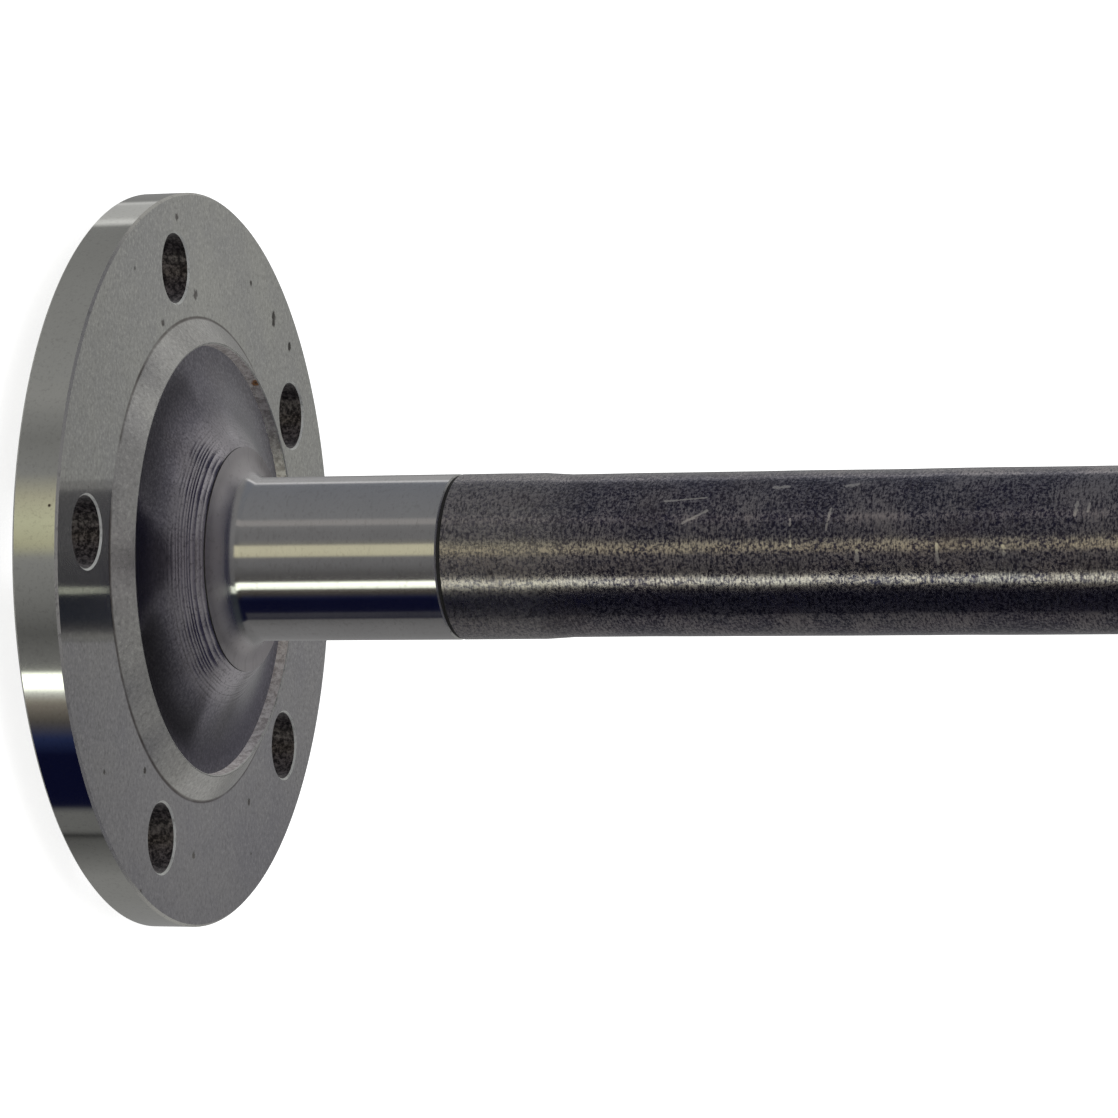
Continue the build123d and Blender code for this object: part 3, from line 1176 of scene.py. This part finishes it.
for row in range(len(rings) - 1):
    for column in range(width - 1):
        corner = row * width + column
        faces.append((corner, corner + 1, corner + width + 1, corner + width))
strip.from_pydata(corners, [], faces)
strip.materials.append(cut_steel)
print("one pitch has", len(rings), "rings of", width, "points")

# %% The splined end
weld("splined_end", [ring_of("teeth", strip, tooth_count, 0.0, 0.0)])

# %% [markdown]
# The floor
#
# The shaft stands on its wheel end on a pale floor. The floor is plain diffuse white that
# catches the soft shadow. A little glow that only the camera sees brings it up to paper white,
# so no extra light has to fall on the steel.

# %% The floor
floor_size = 24.0
floor_glow = 0.78
floor_colour = (0.8, 0.8, 0.8, 1.0)
floor_z = cad_box[0][2]
floor_mesh = bpy.data.meshes.new("floor")
half = floor_size / 2
floor_sides = [(-half, -half), (half, -half), (half, half), (-half, half)]
floor_mesh.from_pydata([(x, y, floor_z) for x, y in floor_sides], [], [(0, 1, 2, 3)])
floor = new_object("floor", floor_mesh)
floor.visible_glossy = False

paper = bpy.data.materials.new("paper_floor")
paper.use_nodes = True
g = Graph(paper.node_tree)
g.tree.nodes.clear()
path = g.add("ShaderNodeLightPath", output="Is Camera Ray")
matt = g.add("ShaderNodeBsdfDiffuse", {"Color": floor_colour})
glow = g.add("ShaderNodeEmission", {"Strength": path * floor_glow})
both = g.add("ShaderNodeAddShader", {0: matt, 1: glow})
g.add("ShaderNodeOutputMaterial", {"Surface": both})
floor_mesh.materials.append(paper)
print("the floor lies at", round(floor_z, 4))

# %% [markdown]
# The camera
#
# The picture lays the shaft across the frame, so the camera is turned on its side: up in the
# picture is level in the room. It looks down on the flange from a metre away. The numbers say
# where it stands, and where in the picture the middle of the flange face falls.

# %% The camera
FRAME_PIXELS = 1118
camera_distance = 1.0
camera_elevation = math.radians(21.71)
camera_lens = 149.3
sensor_width = 36.0
camera_roll = 0.0109
flange_pixel = (203.5, 559.7)

toward = Vector((math.cos(camera_azimuth), math.sin(camera_azimuth), 0))
picture_right = Vector((0, 0, 1))
picture_up = picture_right.cross(toward) * -1
target = Vector((0, 0, flange_thickness * MM))
back = picture_right * math.sin(camera_elevation) + toward * math.cos(camera_elevation)
right = picture_up.cross(back).normalized()
up = back.cross(right)
look = Matrix((right, up, back)).transposed()

data = bpy.data.cameras.new("camera")
data.lens = camera_lens
data.sensor_width = sensor_width
# The camera looks straight at the flange, and then turns until the flange falls on its pixel.
pixels_per_unit = camera_lens / sensor_width * FRAME_PIXELS
across = (flange_pixel[0] - FRAME_PIXELS / 2) / pixels_per_unit
upward = (FRAME_PIXELS / 2 - flange_pixel[1]) / pixels_per_unit
aim = Vector((0, 0, -1)).rotation_difference(Vector((across, upward, -1)))
roll = Quaternion((0, 0, 1), camera_roll)
turn_in_camera = (aim @ roll).to_matrix()
camera = new_object("camera", data)
camera.matrix_world = (look @ turn_in_camera.transposed()).to_4x4()
camera.location = target + back * camera_distance
bpy.context.scene.camera = camera
print("the camera stands at", [round(v, 3) for v in camera.location])

# %% [markdown]
# The room that the steel mirrors
#
# Bare metal has hardly any look of its own: it shows what stands round it. In the studio a few
# cards and lamps stand round the shaft, and each gives the steel one bright or dark streak
# along its length. Here the world plays the cards. It is laid out by the angle round the shaft,
# measured from the camera, and by the height above the floor, in six tiers and a ceiling.
# Only mirror rays see it. The camera sees plain white, and the rest of the light is one soft
# grey.

# %% Cards round the shaft
white = (2.5, 2.6, 2.3)
lamp_white = (2.1, 2.25, 1.85)
cream = (0.82, 0.78, 0.55)
navy = (0.004, 0.005, 0.024)
dusk = (0.025, 0.025, 0.05)


def grey(level, warmth=0.0):
    return (level * (1 + warmth), level, level * (1 - warmth))


# Each card edge has its degrees from the camera and its colour. A bare number is a plain grey.
rim_cards = [
    (-180, 0.27), (-116, 0.27), (-99, 0.12), (-96, 0.11), (-94.3, 0.02), (-92.5, 0.17),
    (-83.5, 0.17), (-82, navy), (-62, navy), (-56, (0.02, 0.03, 0.09)), (-50, grey(0.09, 0.1)),
    (-43, grey(0.25, 0.12)), (-41, 0.5), (-38.8, white), (-35.2, white), (-34.2, 0.22),
    (-22, 0.12), (-10, 0.22), (1, 0.29), (5, (0.48, 0.47, 0.33)), (12, (0.6, 0.6, 0.43)),
    (20, (0.5, 0.48, 0.37)), (27, 0.28), (38, 0.225), (52, 0.32), (128, 0.24), (130.5, 0.8),
    (132.5, 0.8), (134.5, 0.52), (148, 0.5), (150, 0.75), (152.5, 0.25),
]
low_cards = [
    (-180, 0.26), (-124, 0.22), (-95, 0.18), (-92.5, navy), (-57, navy), (-50, grey(0.05, 0.1)),
    (-43.5, grey(0.07, 0.1)), (-42, lamp_white), (-33, lamp_white), (-32, grey(0.2, 0.2)),
    (-30.5, grey(0.08, 0.06)), (-10, 0.17), (1, 0.18), (4.5, cream), (17, cream), (20, 0.17),
    (45, 0.235), (48, grey(0.41, 0.04)), (54, grey(0.39, 0.04)), (57, grey(0.235, -0.03)),
    (129, (0.215, 0.23, 0.26)), (131, 0.9), (134, 0.9), (136, 0.45), (158, 0.42), (162, 0.25),
]
middle_cards = [
    (-180, (0.31, 0.305, 0.32)), (-174, (0.175, 0.171, 0.19)), (-166, 0.18), (-158, 0.35),
    (-140, 0.34), (-110, 0.12), (-90, grey(0.055, -0.15)), (-48, grey(0.045, -0.15)),
    (-46, (1.14, 1.2, 1.0)), (-38, (1.14, 1.2, 1.0)), (-36.5, 0.15), (0, 0.2), (30, 0.26),
    (60, 0.25), (110, 0.25), (135, 0.34), (158, 0.36), (168, 0.37), (174, (0.35, 0.35, 0.345)),
]
belt_cards = [
    (-180, 0.03), (-165, 0.04), (-148, 0.24), (-134, 0.3), (-126, dusk), (126, dusk), (134, 0.46),
    (149, 0.44), (166, 0.12),
]
high_cards = [
    (-180, 0.04), (-158, 0.05), (-136, 0.28), (-118, 0.28), (-104, dusk), (104, dusk), (118, 0.46),
    (140, 0.46), (160, 0.16),
]
top_cards = [
    (-180, 0.27), (-100, 0.27), (-75, (0.14, 0.135, 0.15)), (75, (0.14, 0.135, 0.15)), (100, 0.3),
]
ceiling = (0.28, 0.274, 0.28)
soft_grey = 0.4

# Each tier fades in between two heights, given as the sine of the angle over the horizon.
tiers = [
    (-0.362, -0.35, low_cards),
    (-0.05, 0.12, middle_cards),
    (0.405, 0.46, belt_cards),
    (0.66, 0.74, high_cards),
    (0.85, 0.89, top_cards),
]
ceiling_start = (0.975, 0.99)

world = bpy.data.worlds.new("studio")
bpy.context.scene.world = world
world.use_nodes = True
w = Graph(world.node_tree)
w.tree.nodes.clear()
direction = w.add("ShaderNodeTexCoord", output="Generated")
inputs = {"Vector": direction, "Angle": -camera_azimuth}
facing = w.add("ShaderNodeVectorRotate", inputs, rotation_type="Z_AXIS")
forward, sideways, rise = w.split(facing)
bearing = w.function("ARCTAN2", 0 - sideways, forward) / (2 * math.pi) + 0.5


def cards(stops):
    """One tier of cards round the shaft."""
    placed = []
    for angle, colour in stops:
        tone = colour if isinstance(colour, tuple) else grey(colour)
        placed.append(((angle + 180) / 360, tone))
    return w.add("ShaderNodeValToRGB", {0: bearing}, stops=placed)


room = cards(rim_cards)
for low, high, stops in tiers:
    room = w.mix(w.ease(rise, low, high), room, cards(stops))
room = w.mix(w.ease(rise, *ceiling_start), room, ceiling)
mirror_ray = w.add("ShaderNodeLightPath", output="Is Glossy Ray")
camera_ray = w.add("ShaderNodeLightPath", output="Is Camera Ray")
plain = w.mix(camera_ray, grey(soft_grey), (1.0, 1.0, 1.0))
seen = w.mix(mirror_ray, plain, room)
background = w.add("ShaderNodeBackground", {"Color": seen})
w.add("ShaderNodeOutputWorld", {"Surface": background})
card_edges = len(rim_cards) + sum(len(stops) for _, _, stops in tiers)
print("the room has", card_edges, "card edges in", len(tiers) + 1, "tiers")

# %% [markdown]
# One soft lamp
#
# A wide sun gives the floor its even light and the shaft its soft shadow. Mirror rays don't see
# it, because the cards already stand for every lamp that the steel shows.

# %% The lamp
sun_strength = 1.0
sun_width = math.radians(70)
sun_lean = 0.35
sun_data = bpy.data.lights.new("soft_sun", "SUN")
sun_data.energy = sun_strength
sun_data.angle = sun_width
sun = new_object("soft_sun", sun_data)
sun_direction = picture_up * sun_lean + toward * sun_lean + picture_right
sun.rotation_mode = "QUATERNION"
sun.rotation_quaternion = sun_direction.to_track_quat("Z", "Y")
sun.visible_glossy = False
sun_height = math.degrees(math.asin(sun_direction.normalized().z))
print("the sun stands", round(sun_height), "degrees high")

# %% [markdown]
# Close the scene
#
# The view transform is Standard, so that a colour renders as it is written.

# %% Finish
bpy.context.scene.view_settings.view_transform = "Standard"
